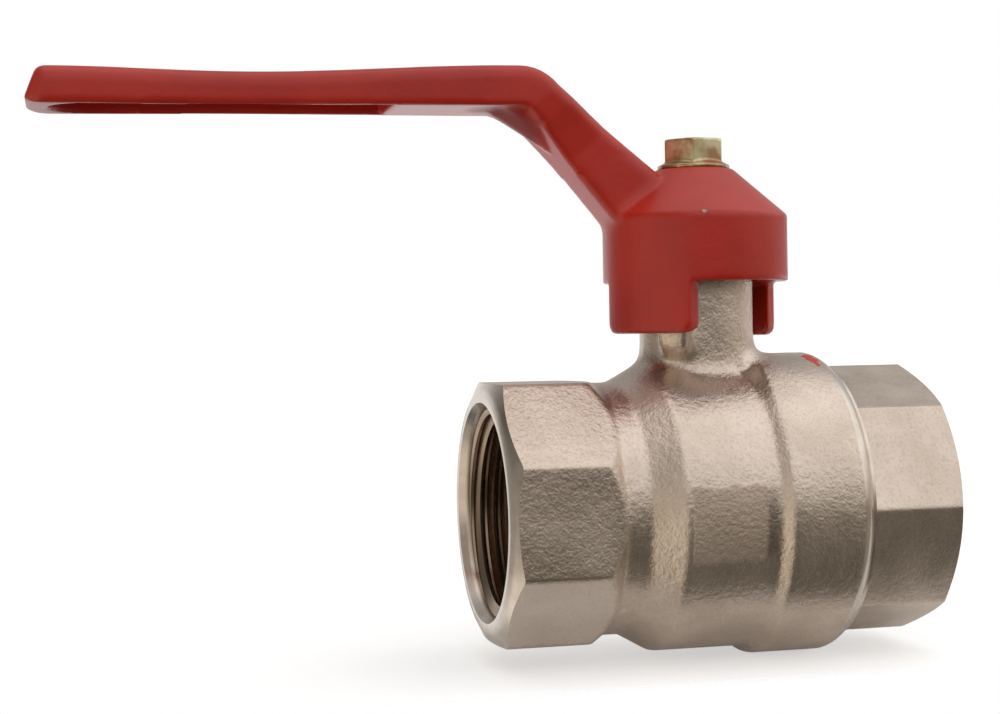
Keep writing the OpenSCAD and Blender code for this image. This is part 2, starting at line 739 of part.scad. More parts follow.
// Gusset inside the bend: a ridge under the arm's middle, with sloping sides up to the grip's edges
module gusset() {
    start = [-bend_x - gusset_grip_len, grip_z];
    apex = [-bend_x, grip_z] + gusset_arm_len * [cos(arm_angle), -sin(arm_angle)];
    along = unit(apex - start) * cut;
    into_arm = cut / 2 * [sin(arm_angle), cos(arm_angle)];
    ridge = [start - along, apex + along];
    foot = [start + [gusset_point, cut / 2], (apex + [-bend_x, grip_z]) / 2 + into_arm];
    half = [grip_w_bend / 2 - 2 * arm_low_round, arm_w / 2];
    points = concat(
        [for (p = ridge) [p[0], 0, p[1]]],
        [for (k = [0, 1], side = [-1, 1]) [foot[k][0], side * half[k], foot[k][1]]]
    );
    polyhedron(points = points, faces = [
        [0, 2, 1], [2, 4, 1], [0, 1, 3], [3, 1, 5], [0, 3, 2], [2, 3, 5, 4], [4, 5, 1]
    ]);
}

// Pocket under the grip, following its sides, round at the tip
module grip_pocket() {
    end_x = tip_x - pocket_len;
    half_tip = grip_w_tip / 2 - pocket_wall;
    round_x = tip_x - half_tip;
    side = [for (k = [0 : pocket_steps]) let (x = end_x + (round_x - end_x) * k / pocket_steps)
        [-x, along_grip(x, grip_w_tip, grip_w_waist, grip_w_bend) / 2 - pocket_wall]];
    far = side[pocket_steps];
    nose = [for (k = [1 : pocket_steps - 1]) let (a = 90 + 180 * k / pocket_steps)
        [-round_x + half_tip * cos(a), far[1] * sin(a)]];
    translate([0, 0, tip_z - cut]) linear_extrude(pocket_depth + cut)
        polygon(concat(side, nose, [for (k = [pocket_steps : -1 : 0]) [side[k][0], -side[k][1]]]));
}

// Outside of the hub: crown, cone, shoulder, skirt and the band that the lugs are cut from
module hub() {
    rotate_extrude() polygon(rounded([
        [[0, lug_z - cut], 0],
        [[hub_r, lug_z - cut], 0],
        [[hub_r, shoulder_z], hub_round],
        [[crown_r, crown_z], hub_round],
        [[0, crown_z], 0]
    ]));
}

// Hole for the stem's two flats
module flats_hole() {
    hole_w = flats_af + 2 * run_clear;
    hole_h = hub_web + 2 * cut;
    translate([0, 0, ceiling_z - cut]) intersection() {
        cylinder(h = hole_h, r = stem_bore_r);
        translate([-stem_d, -hole_w / 2, 0]) cube([2 * stem_d, hole_w, hole_h]);
    }
}

module lever() {
    color([0.62, 0.12, 0.10]) {
        difference() {
            hub();
            translate([0, 0, lug_z - 2 * cut]) cylinder(h = ceiling_z - lug_z + 2 * cut, r = hub_room_r);
            lug_windows();
            flats_hole();
        }
        stop_sector(stop_angle - stop_span / 2 - stop_play);
        stop_sector(stop_angle - stop_span / 2 - stop_play - 180);
        difference() {
            arm();
            grip_pocket();
        }
        gusset();
    }
}

module lever_nut() {
    full_h = nut_flange_h + nut_h;
    color([0.72, 0.62, 0.30]) difference() {
        union() {
            rotate([0, 0, nut_turn]) hexagon(crown_z + nut_flange_h - cut / 2, nut_h + cut / 2, nut_af);
            rotate_extrude() polygon([
                [0, crown_z], [nut_flange_d / 2, crown_z], [nut_flange_d / 2, crown_z + nut_rim_h],
                [nut_af / 2, crown_z + nut_flange_h], [0, crown_z + nut_flange_h]
            ]);
        }
        translate([0, 0, crown_z - cut]) cylinder(h = full_h + 2 * cut, r = stud_d / 2 + run_clear);
    }
}

valve_body();
end_adapter();
ball();
inlet_seat();
outlet_seat();
body_seal_ring();
stem();
thrust_washer();
lower_stem_o_ring();
upper_stem_o_ring();
lower_packing_ring();
middle_packing_ring();
upper_packing_ring();
gland_nut();
lever();
lever_nut();
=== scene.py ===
"""Dresses the ball valve: softened forgings, a cast lever, thread turns, finishes and a studio."""
import logging
import math
from dataclasses import dataclass
from enum import Enum
from typing import Any, Callable, Optional, Sequence, Union

import bpy
import numpy as np
from mathutils import Matrix, Vector


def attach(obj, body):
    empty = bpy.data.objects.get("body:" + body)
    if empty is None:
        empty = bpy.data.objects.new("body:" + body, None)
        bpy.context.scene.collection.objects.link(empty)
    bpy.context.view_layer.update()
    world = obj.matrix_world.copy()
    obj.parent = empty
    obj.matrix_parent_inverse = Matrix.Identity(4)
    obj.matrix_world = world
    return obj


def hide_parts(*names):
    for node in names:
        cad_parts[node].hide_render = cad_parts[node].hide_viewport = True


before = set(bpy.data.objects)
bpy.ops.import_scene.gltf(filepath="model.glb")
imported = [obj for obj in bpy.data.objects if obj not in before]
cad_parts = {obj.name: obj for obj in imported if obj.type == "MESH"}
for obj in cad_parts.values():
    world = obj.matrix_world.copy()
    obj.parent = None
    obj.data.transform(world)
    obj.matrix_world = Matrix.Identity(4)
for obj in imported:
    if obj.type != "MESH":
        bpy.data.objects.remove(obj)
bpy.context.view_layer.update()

MM = 0.001
SMOOTH_ANGLE = math.radians(32)
COPY_WELD = 0.0005
LATHE_WELD = 0.001
INLET_FACE = -36.65
INLET_BOTTOM = -19.8
OUTLET_FACE = 37.7
OUTLET_BOTTOM = 20.85

Colour = tuple[float, float, float]
Point = tuple[float, float, float]
Spot = tuple[float, float]
Span = tuple[float, float]
Outline = Sequence[Spot]
Object = bpy.types.Object
Value = Union["Socket", float, tuple]
Chooser = Callable[[np.ndarray], np.ndarray]

WHITE: Colour = (1.0, 1.0, 1.0)

log = logging.getLogger("ball_valve")


class Body(Enum):
    """Bodies of the frame that new pieces ride on."""

    VALVE = "valve"
    HANDLE = "handle"


class Slot(Enum):
    """Material slots of the record, named for each new piece when it is mounted."""

    NICKEL = "nickel_plate"
    PAINT = "red_paint"
    ZINC = "yellow_zinc"


class Axis(Enum):
    """Axes that a solid is turned about."""

    PIPE = (1.0, 0.0, 0.0)
    STEM = (0.0, 0.0, 1.0)

    def point(self, along: float, out: float) -> Vector:
        """Return the place, in metres, of an outline point given in millimetres."""
        return Vector((along, 0, out) if self is Axis.PIPE else (out, 0, along)) * MM


@dataclass(frozen=True)
class Pattern:
    """A noise with blots about size millimetres wide."""

    size: float
    detail: float = 2.0
    rough: float = 0.5


class Socket:
    """One output of a shader node, with arithmetic that adds Math nodes."""

    def __init__(self, board: "NodeBoard", link: bpy.types.NodeSocket) -> None:
        """Keep the board that the node stands on and the output itself."""
        self.board = board
        self.link = link

    def maths(self, operation: str, first: Value, second: Value = 0.0) -> "Socket":
        """Return the result of one Math node on two values."""
        return self.board.node("ShaderNodeMath", {"operation": operation}, {0: first, 1: second})

    def __add__(self, other: Value) -> "Socket":
        """Return the sum."""
        return self.maths("ADD", self, other)

    def __radd__(self, other: Value) -> "Socket":
        """Return the sum, with the number first."""
        return self.maths("ADD", other, self)

    def __sub__(self, other: Value) -> "Socket":
        """Return the difference."""
        return self.maths("SUBTRACT", self, other)

    def __rsub__(self, other: Value) -> "Socket":
        """Return the difference, with the number first."""
        return self.maths("SUBTRACT", other, self)

    def __mul__(self, other: Value) -> "Socket":
        """Return the product."""
        return self.maths("MULTIPLY", self, other)

    def __rmul__(self, other: Value) -> "Socket":
        """Return the product, with the number first."""
        return self.maths("MULTIPLY", other, self)

    def __pow__(self, other: Value) -> "Socket":
        """Return the power."""
        return self.maths("POWER", self, other)

    def __abs__(self) -> "Socket":
        """Return the size without its sign."""
        return self.maths("ABSOLUTE", self)

    def most(self, other: Value) -> "Socket":
        """Return the larger of two values."""
        return self.maths("MAXIMUM", self, other)

    def spread(self, low: float, high: float) -> "Socket":
        """Return a smooth step that is 0 at low and 1 at high."""
        settings = {"interpolation_type": "SMOOTHSTEP"}
        sockets: dict[Any, Value] = {"Value": self, "From Min": low, "From Max": high}
        return self.board.node("ShaderNodeMapRange", settings, sockets)


class NodeBoard:
    """A node tree with short ways to add nodes to it."""

    def __init__(self, tree: bpy.types.NodeTree) -> None:
        """Empty the tree and keep it."""
        self.tree = tree
        tree.nodes.clear()

    def node(self, kind: str, settings: Optional[dict[str, Any]] = None,
             sockets: Optional[dict[Any, Value]] = None, output: Any = 0) -> Socket:
        """Add one node.

        Args:
            kind: The node's type.
            settings: The node's own settings, set before its sockets.
            sockets: Values or links of its inputs, by name or number.
            output: The output that is wanted, by name or number.

        Returns:
            The wanted output.
        """
        made = self.tree.nodes.new(kind)
        for name, value in (settings or {}).items():
            setattr(made, name, value)
        for name, value in (sockets or {}).items():
            if isinstance(value, Socket):
                self.tree.links.new(value.link, made.inputs[name])
            else:
                made.inputs[name].default_value = value
        return Socket(self, made.outputs[output] if len(made.outputs) else None)

    def place(self) -> Socket:
        """Return the piece's own coordinates."""
        return self.node("ShaderNodeTexCoord", output="Object")

    def parts(self, vector: Socket) -> tuple[Socket, Socket, Socket]:
        """Return a vector's three parts."""
        first = self.node("ShaderNodeSeparateXYZ", None, {0: vector})
        outputs = first.link.node.outputs
        return first, Socket(self, outputs[1]), Socket(self, outputs[2])

    def vector(self, x: Value, y: Value, z: Value) -> Socket:
        """Return a vector from three values."""
        return self.node("ShaderNodeCombineXYZ", None, {0: x, 1: y, 2: z})

    def noise(self, place: Socket, pattern: Pattern) -> Socket:
        """Return a noise of the pattern's size and detail."""
        return self.node("ShaderNodeTexNoise", None, {
            "Vector": place,
            "Scale": 1 / (pattern.size * MM),
            "Detail": pattern.detail,
            "Roughness": pattern.rough,
        })

    def stretched(self, place: Socket, scale: Point) -> Socket:
        """Return the coordinates multiplied by a scale."""
        return self.node("ShaderNodeMapping", None, {"Vector": place, "Scale": scale})

    def ramp(self, value: Socket, ends: Span) -> Socket:
        """Return a smooth step between two places in millimetres."""
        return value.spread(ends[0] * MM, ends[1] * MM)

    def blend(self, share: Value, first: Value, second: Value) -> Socket:
        """Return the mix of two colours."""
        sockets = {0: share, 6: opaque(first), 7: opaque(second)}
        return self.node("ShaderNodeMix", {"data_type": "RGBA"}, sockets, output=2)

    def between(self, share: Value, first: Value, second: Value) -> Socket:
        """Return the mix of two values."""
        return self.node("ShaderNodeMix", {"data_type": "FLOAT"}, {0: share, 2: first, 3: second})

    def bump(self, height: Socket, depth: float, strength: float = 1.0,
             below: Optional[Socket] = None) -> Socket:
        """Return a normal that follows a height.

        Args:
            height: The height, from 0 to about 1.
            depth: The depth in millimetres of a height of 1.
            strength: The share of the effect.
            below: Another bump that this one lies on.

        Returns:
            The bumped normal.
        """
        sockets: dict[Any, Value] = {"Height": height, "Distance": depth * MM, "Strength": strength}
        if below is not None:
            sockets["Normal"] = below
        return self.node("ShaderNodeBump", None, sockets)

    def rays(self) -> tuple[Socket, Socket]:
        """Return whether a ray comes from the camera, and whether metal or glass sent it on."""
        camera = self.node("ShaderNodeLightPath", output="Is Camera Ray")
        outputs = camera.link.node.outputs
        glossy = Socket(self, outputs["Is Glossy Ray"])
        return camera, glossy.most(Socket(self, outputs["Is Transmission Ray"]))

    def finish(self, kind: str, shader: Socket) -> None:
        """Join a shader to the tree's output."""
        self.node(kind, None, {"Surface": shader})

    def principled(self, sockets: dict[str, Value]) -> None:
        """Make the whole material one principled surface."""
        shader = self.node("ShaderNodeBsdfPrincipled", None, sockets)
        self.finish("ShaderNodeOutputMaterial", shader)


def opaque(colour: Value) -> Value:
    """Return a colour with its fourth number, or the socket as it is."""
    return colour if isinstance(colour, Socket) else (*colour, 1.0)


def length(first: Socket, second: Socket) -> Socket:
    """Return the length of two parts that stand at right angles."""
    return (first ** 2.0 + second ** 2.0) ** 0.5


@dataclass(frozen=True)
class Finish:
    """A surface finish, made into a material once."""

    name: str

    def material(self) -> bpy.types.Material:
        """Return the finish's material, and make it on its first use."""
        made = bpy.data.materials.get(self.name)
        if made is None:
            made = bpy.data.materials.new(self.name)
            made.use_nodes = True
            self.shade(NodeBoard(made.node_tree))
        return made

    def shade(self, board: NodeBoard) -> None:
        """Build the finish's nodes on an empty board."""
        raise NotImplementedError


@dataclass(frozen=True)
class BlastedNickel(Finish):
    """Satin nickel on a shot-blasted forging, with grain, worn edges, soft stains and painted shade in
    creases and beside the pads.
    """

    name: str = "blasted_nickel"
    pale: Colour = (0.74, 0.625, 0.53)
    dull: Colour = (0.62, 0.515, 0.425)
    pit: Colour = (0.50, 0.405, 0.325)
    # Colour of painted shade, used in concave creases and in the strips beside the pads.
    painted_shade: Colour = (0.30, 0.24, 0.19)
    worn: Colour = (0.86, 0.77, 0.69)
    roughness: float = 0.35
    stretch: Point = (1.1, 1.0, 1.0)
    grain: Pattern = Pattern(0.42, 1.5)
    dents: Pattern = Pattern(1.0, 1.0, 0.4)
    grain_depth: float = 0.09
    swell: Pattern = Pattern(4.5, 1.0, 0.4)
    swell_depth: float = 0.09
    stain: Pattern = Pattern(9.0, 3.0, 0.55)
    marked: bool = False
    scratches: Pattern = Pattern(0.7, 2.0, 0.6)
    pad_roughness: float = 0.62
    pad_outline: Pattern = Pattern(2.2)
    pad_centre: Spot = (-3.2, -1.0)
    pad_sides: Span = (5.6, 6.2)
    pad_ends: Span = (5.3, 6.3)
    strip_x: float = 3.6
    strip_sides: Span = (0.3, 1.4)
    strip_ends: Span = (3.8, 6.6)
    paint: Colour = (0.62, 0.05, 0.03)
    paint_roughness: float = 0.5
    dab_outline: Pattern = Pattern(1.2)
    dab_centre: Spot = (17.2, -6.8)
    dab_slimness: float = 0.33
    dab_rim: Span = (0.8, 1.05)
    dab_bottom: Span = (15.0, 16.0)

    def shade(self, board: NodeBoard) -> None:
        """Build grain, stains, edges, painted crease shade and, on a marked forging, the rough pads, the
        painted shade beside them and the paint dab.
        """
        place = board.place()
        drawn = board.stretched(place, self.stretch)
        grain = board.noise(drawn, self.grain)
        stain = board.noise(place, self.stain)
        height = grain * 0.7 + board.noise(drawn, self.dents) * 0.9
        colour = board.blend(stain.spread(0.3, 0.7), self.dull, self.pale)
        colour = board.blend((1 - grain.spread(0.20, 0.55)) * 0.35, colour, self.pit)
        roughness = self.roughness + (stain - 0.5) * 0.14 + (1 - grain.spread(0.3, 0.6)) * 0.10
        if self.marked:
            pad, shade_strip = self.pads(board, place)
            height = height + pad * board.noise(place, self.scratches) * 2.2
            colour = board.blend(pad * 0.5, colour, self.pit)
            # Painted shade: a narrow strip beside the pad, where its edge would shade, is darkened toward
            # the painted shade colour.
            colour = board.blend(shade_strip * 0.6, colour, self.painted_shade)
            roughness = board.between(pad, roughness, self.pad_roughness)
        tip = board.node("ShaderNodeNewGeometry", output="Pointiness")
        # Painted shade: concave creases, found by pointiness, are darkened toward the painted shade
        # colour.
        crease_shade = 1 - tip.spread(0.40, 0.485)
        colour = board.blend(crease_shade * 0.7, colour, self.painted_shade)
        colour = board.blend(tip.spread(0.53, 0.60) * 0.4, colour, self.worn)
        metallic: Value = 1.0
        if self.marked:
            dab = self.dab(board, place)
            colour = board.blend(dab, colour, self.paint)
            metallic = 1 - dab
            roughness = board.between(dab, roughness, self.paint_roughness)
        waves = board.bump(board.noise(place, self.swell), self.swell_depth, 0.8)
        board.principled({
            "Base Color": colour,
            "Metallic": metallic,
            "Roughness": roughness,
            "Normal": board.bump(height, self.grain_depth, 1.0, waves),
        })

    def pads(self, board: NodeBoard, place: Socket) -> tuple[Socket, Socket]:
        """Return the shares of the rougher as-forged pads and of the painted shade strips beside them."""
        x, _, z = board.parts(place)
        ragged = (board.noise(place, self.pad_outline) - 0.5) * (2.0 * MM)
        across = abs(x - self.pad_centre[0] * MM) + ragged * 0.5
        along = abs(z - self.pad_centre[1] * MM) + ragged
        beside = abs(x - self.strip_x * MM) + ragged * 0.5
        pad = (1 - board.ramp(across, self.pad_sides)) * (1 - board.ramp(along, self.pad_ends))
        shade_strip = (1 - board.ramp(beside, self.strip_sides)) * (1 - board.ramp(along, self.strip_ends))
        return pad, shade_strip

    def dab(self, board: NodeBoard, place: Socket) -> Socket:
        """Return the share of the red paint dab on top of the collar."""
        x, y, z = board.parts(place)
        ragged = (board.noise(place, self.dab_outline) - 0.5) * (1.6 * MM)
        across = abs(x - self.dab_centre[0] * MM) + ragged
        along = abs(y - self.dab_centre[1] * MM) * self.dab_slimness + ragged
        return (1 - board.ramp(length(across, along), self.dab_rim)) * board.ramp(z, self.dab_bottom)


@dataclass(frozen=True)
class TurnedNickel(Finish):
    """Nickel over lathe-turned faces, with fine tool rings about the pipe."""

    name: str = "turned_nickel"
    pale: Colour = (0.77, 0.685, 0.605)
    dull: Colour = (0.62, 0.535, 0.46)
    bare_and_shaded: Colour = (0.28, 0.205, 0.15)
    bore: Span = (16.64, 16.94)
    roughness: float = 0.24
    rings: Pattern = Pattern(0.16, 2.0, 0.6)
    ring_depth: float = 0.012
    stain: Pattern = Pattern(5.0, 3.0, 0.55)

    def shade(self, board: NodeBoard) -> None:
        """Build rings that follow the lathe, a faint stain, and inside the bores, which are cut last,
        uncoated brass darkened as painted shade.
        """
        place = board.place()
        x, y, z = board.parts(place)
        radius = length(y, z)
        rings = board.noise(board.vector(x, radius, 0.0), self.rings)
        stain = board.noise(place, self.stain)
        plate = board.blend(stain.spread(0.3, 0.7), self.dull, self.pale)
        board.principled({
            # Inside the bore radius the colour goes to uncoated brass, made far darker than clean brass:
            # partly the metal's own colour, partly painted shade deep in the port.
            "Base Color": board.blend(1 - board.ramp(radius, self.bore), plate, self.bare_and_shaded),
            "Metallic": 1.0,
            "Roughness": self.roughness + (rings - 0.5) * 0.2 + (stain - 0.5) * 0.1,
            "Normal": board.bump(rings, self.ring_depth, 0.8),
        })


@dataclass(frozen=True)
class RedPaint(Finish):
    """Red epoxy paint on a die casting, with orange peel, thin edges, painted shade under the bend and one
    chip.
    """

    name: str = "red_epoxy"
    deep: Colour = (0.46, 0.019, 0.010)
    fresh: Colour = (0.53, 0.026, 0.013)
    thin: Colour = (0.56, 0.07, 0.055)
    metal: Colour = (0.32, 0.27, 0.255)
    under_bend_shade: Colour = (0.15, 0.007, 0.006)
    roughness: float = 0.32
    specular: float = 0.48
    peel: Pattern = Pattern(1.1)
    peel_depth: float = 0.035
    cloud: Pattern = Pattern(14.0, 3.0)
    specks: Pattern = Pattern(0.5, 2.0, 0.6)
    web_shade: Point = (-33.0, -1.5, 59.8)
    web_rim: Span = (4.5, 8.0)
    chip: Point = (-3.6, -14.7, 47.4)
    chip_rim: Span = (0.4, 0.5)
    chip_ragged: float = 0.35

    def shade(self, board: NodeBoard) -> None:
        """Build the paint's tone, peel, rubbed edges, the painted shade and rougher paint under the bend
        and the hub's chip.
        """
        place = board.place()
        cloud = board.noise(place, self.cloud)
        specks = board.noise(place, self.specks) - 0.5
        tip = board.node("ShaderNodeNewGeometry", output="Pointiness")
        edge = (tip + specks * 0.03).spread(0.58, 0.66)
        colour = board.blend(cloud.spread(0.35, 0.65), self.deep, self.fresh)
        colour = board.blend(edge * 0.35, colour, self.thin)
        # Painted shade: faces that look down near the gusset are darkened toward a deep red, and their
        # paint is made rougher.
        facing = board.parts(board.node("ShaderNodeNewGeometry", output="Normal"))
        under = (0 - facing[2]).spread(0.15, 0.45)
        web_shade = (1 - board.ramp(self.away(board, place, self.web_shade), self.web_rim)) * under
        colour = board.blend(web_shade * 0.6, colour, self.under_bend_shade)
        ragged = self.away(board, place, self.chip) + specks * (self.chip_ragged * MM)
        chip = 1 - board.ramp(ragged, self.chip_rim)
        board.principled({
            "Base Color": board.blend(chip, colour, self.metal),
            "Metallic": chip * 0.8,
            "Roughness": self.roughness + web_shade * 0.15 + (cloud - 0.5) * 0.12 + specks * 0.06,
            "Specular IOR Level": self.specular,
            "Normal": board.bump(board.noise(place, self.peel) - chip * 2.0, self.peel_depth, 0.8),
        })

    @staticmethod
    def away(board: NodeBoard, place: Socket, centre: Point) -> Socket:
        """Return how far a point lies from a centre given in millimetres."""
        spot = tuple(v * MM for v in centre)
        return board.node("ShaderNodeVectorMath", {"operation": "DISTANCE"}, {0: place, 1: spot}, "Value")


@dataclass(frozen=True)
class YellowZinc(Finish):
    """Yellow chromate over zinc, with brown and green clouds."""

    name: str = "yellow_chromate"
    straw: Colour = (0.74, 0.64, 0.42)
    brown: Colour = (0.43, 0.25, 0.14)
    olive: Colour = (0.52, 0.52, 0.26)
    roughness: float = 0.34
    cloud: Pattern = Pattern(5.0, 3.0, 0.6)
    tint: Pattern = Pattern(3.2)
    lines: Pattern = Pattern(0.25, 2.0, 0.6)
    line_depth: float = 0.012

    def shade(self, board: NodeBoard) -> None:
        """Build the chromate's clouds and the cold-formed steel's faint lines."""
        place = board.place()
        cloud = board.noise(place, self.cloud)
        tint = board.noise(place, self.tint)
        lines = board.noise(place, self.lines)
        colour = board.blend(cloud.spread(0.36, 0.58), self.brown, self.straw)
        board.principled({
            "Base Color": board.blend(tint.spread(0.52, 0.70) * 0.7, colour, self.olive),
            "Metallic": 1.0,
            "Roughness": self.roughness + (lines - 0.5) * 0.2,
            "Normal": board.bump(lines, self.line_depth, 0.8),
        })


@dataclass(frozen=True)
class ChromePlate(Finish):
    """Polished chrome on the ball, with faint haze and hairlines."""

    name: str = "polished_chrome"
    dull: Colour = (0.72, 0.73, 0.745)
    bright: Colour = (0.80, 0.805, 0.81)
    roughness: float = 0.07
    haze: Pattern = Pattern(6.0, 3.0, 0.6)
    hair: Pattern = Pattern(0.2)
    hair_stretch: Point = (0.05, 1.0, 1.0)
    hair_depth: float = 0.002

    def shade(self, board: NodeBoard) -> None:
        """Build the haze and hairlines."""
        place = board.place()
        haze = board.noise(place, self.haze)
        hair = board.noise(board.stretched(place, self.hair_stretch), self.hair)
        board.principled({
            "Base Color": board.blend(haze, self.dull, self.bright),
            "Metallic": 1.0,
            "Roughness": self.roughness + haze * 0.07 + hair.spread(0.6, 0.75) * 0.1,
            "Normal": board.bump(hair, self.hair_depth, 0.5),
        })


@dataclass(frozen=True)
class WaxyPtfe(Finish):
    """White fluoropolymer, waxy, with soft tool marks."""

    name: str = "waxy_ptfe"
    cloudy: Colour = (0.80, 0.80, 0.765)
    clean: Colour = (0.88, 0.88, 0.855)
    roughness: float = 0.42
    cloud: Pattern = Pattern(4.0, 3.0)
    marks: Pattern = Pattern(0.4)
    mark_depth: float = 0.015

    def shade(self, board: NodeBoard) -> None:
        """Build the cloudy white and the skived surface."""
        place = board.place()
        marks = board.noise(place, self.marks)
        board.principled({
            "Base Color": board.blend(board.noise(place, self.cloud), self.cloudy, self.clean),
            "Roughness": self.roughness + (marks - 0.5) * 0.16,
            "Normal": board.bump(marks, self.mark_depth, 0.6),
        })


@dataclass(frozen=True)
class SmoothRubber(Finish):
    """Black nitrile rubber with a dusty bloom."""

    name: str = "nitrile_rubber"
    black: Colour = (0.018, 0.018, 0.019)
    dusty: Colour = (0.05, 0.05, 0.052)
    roughness: float = 0.5
    bloom: Pattern = Pattern(1.5, 3.0, 0.6)
    bloom_depth: float = 0.01

    def shade(self, board: NodeBoard) -> None:
        """Build the bloom and the moulded skin."""
        bloom = board.noise(board.place(), self.bloom)
        board.principled({
            "Base Color": board.blend(bloom.spread(0.4, 0.8), self.black, self.dusty),
            "Roughness": self.roughness + bloom * 0.2,
            "Normal": board.bump(bloom, self.bloom_depth, 0.6),
        })


@dataclass(frozen=True)
class TurnedBrass(Finish):
    """Bare brass turned about the stem, with tool rings and light tarnish."""

    name: str = "turned_brass"
    clean: Colour = (0.74, 0.56, 0.28)
    tarnished: Colour = (0.52, 0.36, 0.17)
    roughness: float = 0.26
    rings: Pattern = Pattern(0.15, 2.0, 0.6)
    ring_depth: float = 0.012
    tarnish: Pattern = Pattern(3.5, 3.0, 0.6)

    def shade(self, board: NodeBoard) -> None:
        """Build rings about the stem and clouds of tarnish."""
        place = board.place()
        x, y, z = board.parts(place)
        rings = board.noise(board.vector(length(x, y), 0.0, z), self.rings)
        tarnish = board.noise(place, self.tarnish)
        board.principled({
            "Base Color": board.blend(tarnish.spread(0.35, 0.75), self.clean, self.tarnished),
            "Metallic": 1.0,
            "Roughness": self.roughness + (rings - 0.5) * 0.16 + (tarnish - 0.5) * 0.16,
            "Normal": board.bump(rings, self.ring_depth, 0.8),
        })


@dataclass(frozen=True)
class PaleTable(Finish):
    """Pale tabletop that shows white to the camera and keeps the shadow."""

    name: str = "pale_table"
    grey: Colour = (0.74, 0.74, 0.735)
    white: Colour = (0.78, 0.78, 0.775)
    mottle: Pattern = Pattern(60.0)
    lift: float = 0.52
    mirrored_lift: float = 0.08
    near_lift: float = 0.045
    far_lift: float = 0.70
    near_end: Span = (-12.0, 5.0)
    far_start: Span = (60.0, 320.0)
    front_edge: Span = (-26.5, -20.5)
    left_edge: Span = (-85.0, -52.0)
    mirrored_edge: Span = (-50.0, -38.0)

    def shade(self, board: NodeBoard) -> None:
        """Build a soft mottled white with a lift that shows to the camera, in metal and in glass."""
        place = board.place()
        colour = board.blend(board.noise(place, self.mottle), self.grey, self.white)
        matt = board.node("ShaderNodeBsdfDiffuse", None, {"Color": colour})
        camera, mirrored = board.rays()
        x, y, _ = board.parts(place)
        near = 1 - board.ramp(y, self.near_end)
        far = board.ramp(y, self.far_start)
        shine = near * self.near_lift + far * self.far_lift + self.mirrored_lift
        lift = camera * self.lift + mirrored * shine
        glow = board.node("ShaderNodeEmission", None, {"Color": opaque(WHITE), "Strength": lift})
        top = board.node("ShaderNodeAddShader", None, {0: matt, 1: glow})
        clear = board.node("ShaderNodeBsdfTransparent")
        side = board.between(mirrored, board.ramp(x, self.left_edge), board.ramp(x, self.mirrored_edge))
        solid = board.ramp(y, self.front_edge) * side
        shader = board.node("ShaderNodeMixShader", None, {0: solid, 1: clear, 2: top})
        board.finish("ShaderNodeOutputMaterial", shader)


